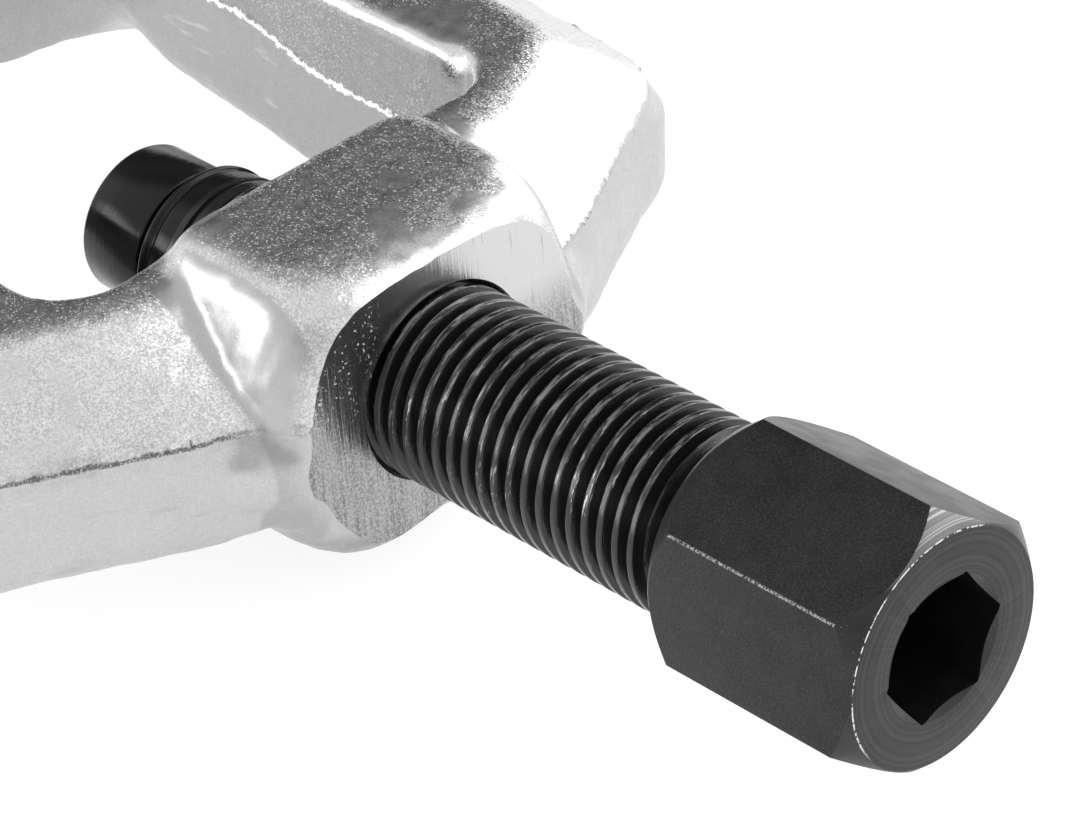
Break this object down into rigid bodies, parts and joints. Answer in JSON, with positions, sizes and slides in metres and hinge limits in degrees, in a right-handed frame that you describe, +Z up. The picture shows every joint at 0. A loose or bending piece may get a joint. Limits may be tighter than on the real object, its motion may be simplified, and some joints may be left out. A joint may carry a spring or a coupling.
{
  "type": "forged yoke puller",
  "caption": "Forged two-leg yoke puller with inturned jaws; a fine-thread hex-head forcing screw advances a swivel thrust tip through the window.",
  "frame": {"origin": "centre of the base of the bounding box at rest; the screw axis is 20.6 mm above it", "axes": "+Y along the screw from the drive head to the jaws; +Z up out of the flat upper face of the yoke; +X completes the right-handed set, across the legs"},
  "size_m": [0.106, 0.171, 0.0369],
  "materials": {
    "zinc_forging": "zinc plated over a blasted forging, sparkling satin",
    "black_steel": "black oxide, oiled, worn bright on edges",
    "black_tip": "black oxide, fine turned",
    "spring_steel": "dark spring wire"
  },
  "bodies": {
    "frame": {"yoke": "zinc_forging"},
    "tip": {"swivel_tip": "black_tip", "tip_retaining_ring": "spring_steel"},
    "screw": {"forcing_screw": "black_steel"}
  },
  "joints": [
    {"name": "screw_advance", "type": "slide", "parent": "frame", "child": "tip", "axis": [0, 1, 0], "range_m": [-0.02001, 0.03601]},
    {"name": "screw_turn", "type": "hinge", "parent": "tip", "child": "screw", "pos_m": [0, 0, 0.0206], "axis": [0, 1, 0], "range_deg": [-3600, 6480]}
  ],
  "couplings": [
    {"joint": "screw_advance", "follows": "screw_turn", "m_per_rad": 0.00031831}
  ]
}
